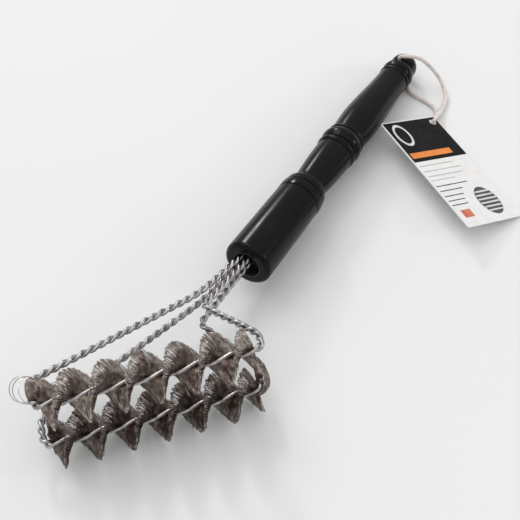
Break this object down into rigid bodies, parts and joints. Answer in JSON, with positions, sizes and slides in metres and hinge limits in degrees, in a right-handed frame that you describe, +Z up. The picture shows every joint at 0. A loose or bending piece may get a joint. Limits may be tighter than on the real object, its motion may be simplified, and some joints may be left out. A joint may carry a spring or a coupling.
{
  "type": "grill cleaning brush",
  "caption": "Grill cleaning brush: a long turned handle holds twisted stem-wire loops that carry spiral rows of coiled wire fill, with a hang cord and card tag.",
  "frame": {"origin": "centre of the base of the box round the brush without its cord and tag, on the table it lies on", "axes": "+Y along the handle from the brush head to the hang hole, +Z up from the table, +X to the side the brush rows bend towards"},
  "size_m": [0.2059, 0.4462, 0.074],
  "materials": {
    "black_lacquered_wood": "gloss black lacquer on turned wood",
    "black_plastic": "semi-gloss",
    "black_filler": "matte cast resin",
    "stem_wire": "bright drawn stainless wire",
    "fine_wire": "fine flattened coil wire, lightly tarnished",
    "cord": "soft off-white braid",
    "card": "smooth printed card"
  },
  "bodies": {
    "brush": {"handle": "black_lacquered_wood", "bore_sleeve": "black_plastic", "bore_filler": "black_filler", "upper_stem_wire_a": "stem_wire", "upper_stem_wire_b": "stem_wire", "upper_row_fill": "fine_wire", "upper_fill_loose_end": "fine_wire", "lower_stem_wire_a": "stem_wire", "lower_stem_wire_b": "stem_wire", "lower_row_fill": "fine_wire"},
    "cord": {"hang_cord": "cord"},
    "tag": {"hang_tag": "card"}
  },
  "joints": [
    {"name": "cord_swing", "type": "hinge", "parent": "brush", "child": "cord", "pos_m": [0.00208, 0.20842, 0.01241], "axis": [-0.3409, 0.0612, 0.9381], "range_deg": [0, 35]},
    {"name": "tag_swing", "type": "hinge", "parent": "cord", "child": "tag", "pos_m": [0.04788, 0.16982, 0.0056], "axis": [0, 0, 1], "range_deg": [0, 40]}
  ]
}
